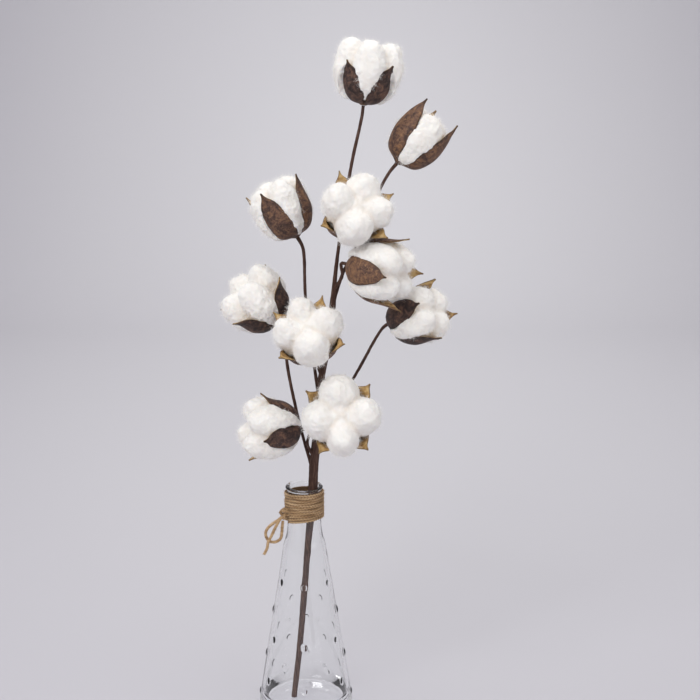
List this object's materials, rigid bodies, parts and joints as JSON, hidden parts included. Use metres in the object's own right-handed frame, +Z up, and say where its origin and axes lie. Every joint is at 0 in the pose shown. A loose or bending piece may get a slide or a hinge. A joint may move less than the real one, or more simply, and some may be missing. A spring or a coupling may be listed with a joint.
{
  "type": "cotton stem bunch in a glass vase",
  "caption": "Branching dried stem with open cotton bolls in their woody burs, standing in a tall hobnail glass bottle vase whose neck is wrapped and tied with jute twine.",
  "frame": {"origin": "centre of the vase's flat bottom", "axes": "+Z up along the vase's axis, towards the top of the stem; -Y is the front and +X the right"},
  "size_m": [0.1862, 0.1044, 0.5502],
  "materials": {
    "glass": "clear and smooth, with raised hobnails",
    "jute": "twisted, hairy and matte",
    "bark": "dry brown bark, matte",
    "husk": "dry brown husk, golden tan inside, matte",
    "lint": "soft white cotton fibre"
  },
  "bodies": {
    "root": {"vase_glass": "glass", "twine_wrap": "jute", "twine_loop": "jute", "twine_tail": "jute", "branch": "bark", "bur_01": "husk", "cotton_01": "lint", "bur_02": "husk", "cotton_02": "lint", "bur_03": "husk", "cotton_03": "lint", "bur_04": "husk", "cotton_04": "lint", "bur_05": "husk", "cotton_05": "lint", "bur_06": "husk", "cotton_06": "lint", "bur_07": "husk", "cotton_07": "lint", "bur_08": "husk", "cotton_08": "lint", "bur_09": "husk", "cotton_09": "lint", "bur_10": "husk", "cotton_10": "lint"}
  },
  "joints": []
}
